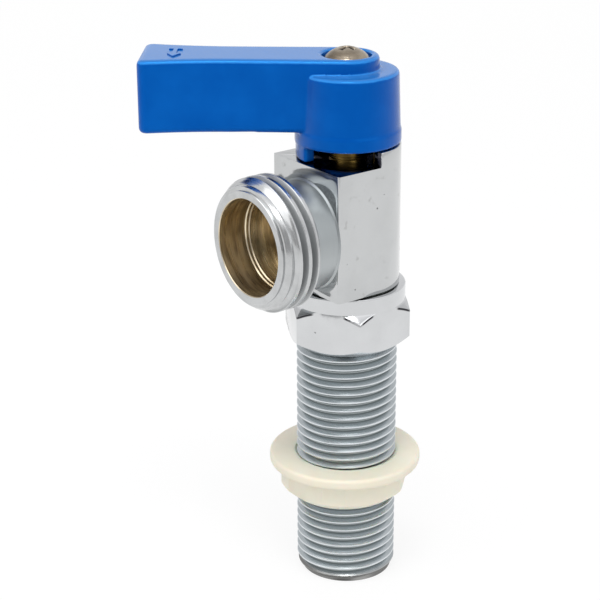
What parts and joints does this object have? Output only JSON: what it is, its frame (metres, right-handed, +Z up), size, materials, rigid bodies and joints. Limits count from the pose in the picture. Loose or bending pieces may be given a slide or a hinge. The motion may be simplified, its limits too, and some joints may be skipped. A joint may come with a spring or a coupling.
{
  "type": "washing machine valve",
  "caption": "Quarter-turn angle ball valve for a washing machine hose: threaded inlet shank with a lock nut below, hose thread to one side, lever handle on top.",
  "frame": {"origin": "centre of the inlet shank's bottom end, at the mouth of its tube socket", "axes": "+Z up along the shank and the stem, -Y out of the hose outlet, +X to the right seen from the outlet"},
  "size_m": [0.0472, 0.0512, 0.1125],
  "materials": {
    "body_chrome": "polished plating",
    "adapter_chrome": "polished hexagon, satin thread",
    "gasket_fibre": "matt",
    "ball_chrome": "polished plating",
    "inlet_seat_ptfe": "smooth",
    "outlet_seat_ptfe": "smooth",
    "retainer_brass": "turned",
    "stem_brass": "turned",
    "washer_ptfe": "smooth",
    "upper_ring_rubber": "matt",
    "lower_ring_rubber": "matt",
    "handle_blue": "gloss",
    "screw_steel": "bright",
    "nut_plastic": "moulded"
  },
  "bodies": {
    "valve": {"valve_body": "body_chrome", "inlet_adapter": "adapter_chrome", "adapter_gasket": "gasket_fibre", "inlet_seat": "inlet_seat_ptfe", "outlet_seat": "outlet_seat_ptfe", "seat_retainer": "retainer_brass"},
    "handle_set": {"stem": "stem_brass", "stem_thrust_washer": "washer_ptfe", "stem_oring_upper": "upper_ring_rubber", "stem_oring_lower": "lower_ring_rubber", "handle": "handle_blue", "handle_screw": "screw_steel"},
    "ball": {"ball": "ball_chrome"},
    "nut": {"lock_nut": "nut_plastic"}
  },
  "joints": [
    {"name": "handle_turn", "type": "hinge", "parent": "valve", "child": "handle_set", "pos_m": [0, 0, 0.0765], "axis": [0, 0, 1], "range_deg": [0, 90]},
    {"name": "ball_turn", "type": "hinge", "parent": "valve", "child": "ball", "pos_m": [0, 0, 0.0765], "axis": [0, 0, 1], "range_deg": [0, 90]},
    {"name": "nut_travel", "type": "slide", "parent": "valve", "child": "nut", "axis": [0, 0, 1], "range_m": [-0.01633, 0.02359]}
  ],
  "couplings": [
    {"joint": "ball_turn", "follows": "handle_turn", "ratio": 1}
  ]
}
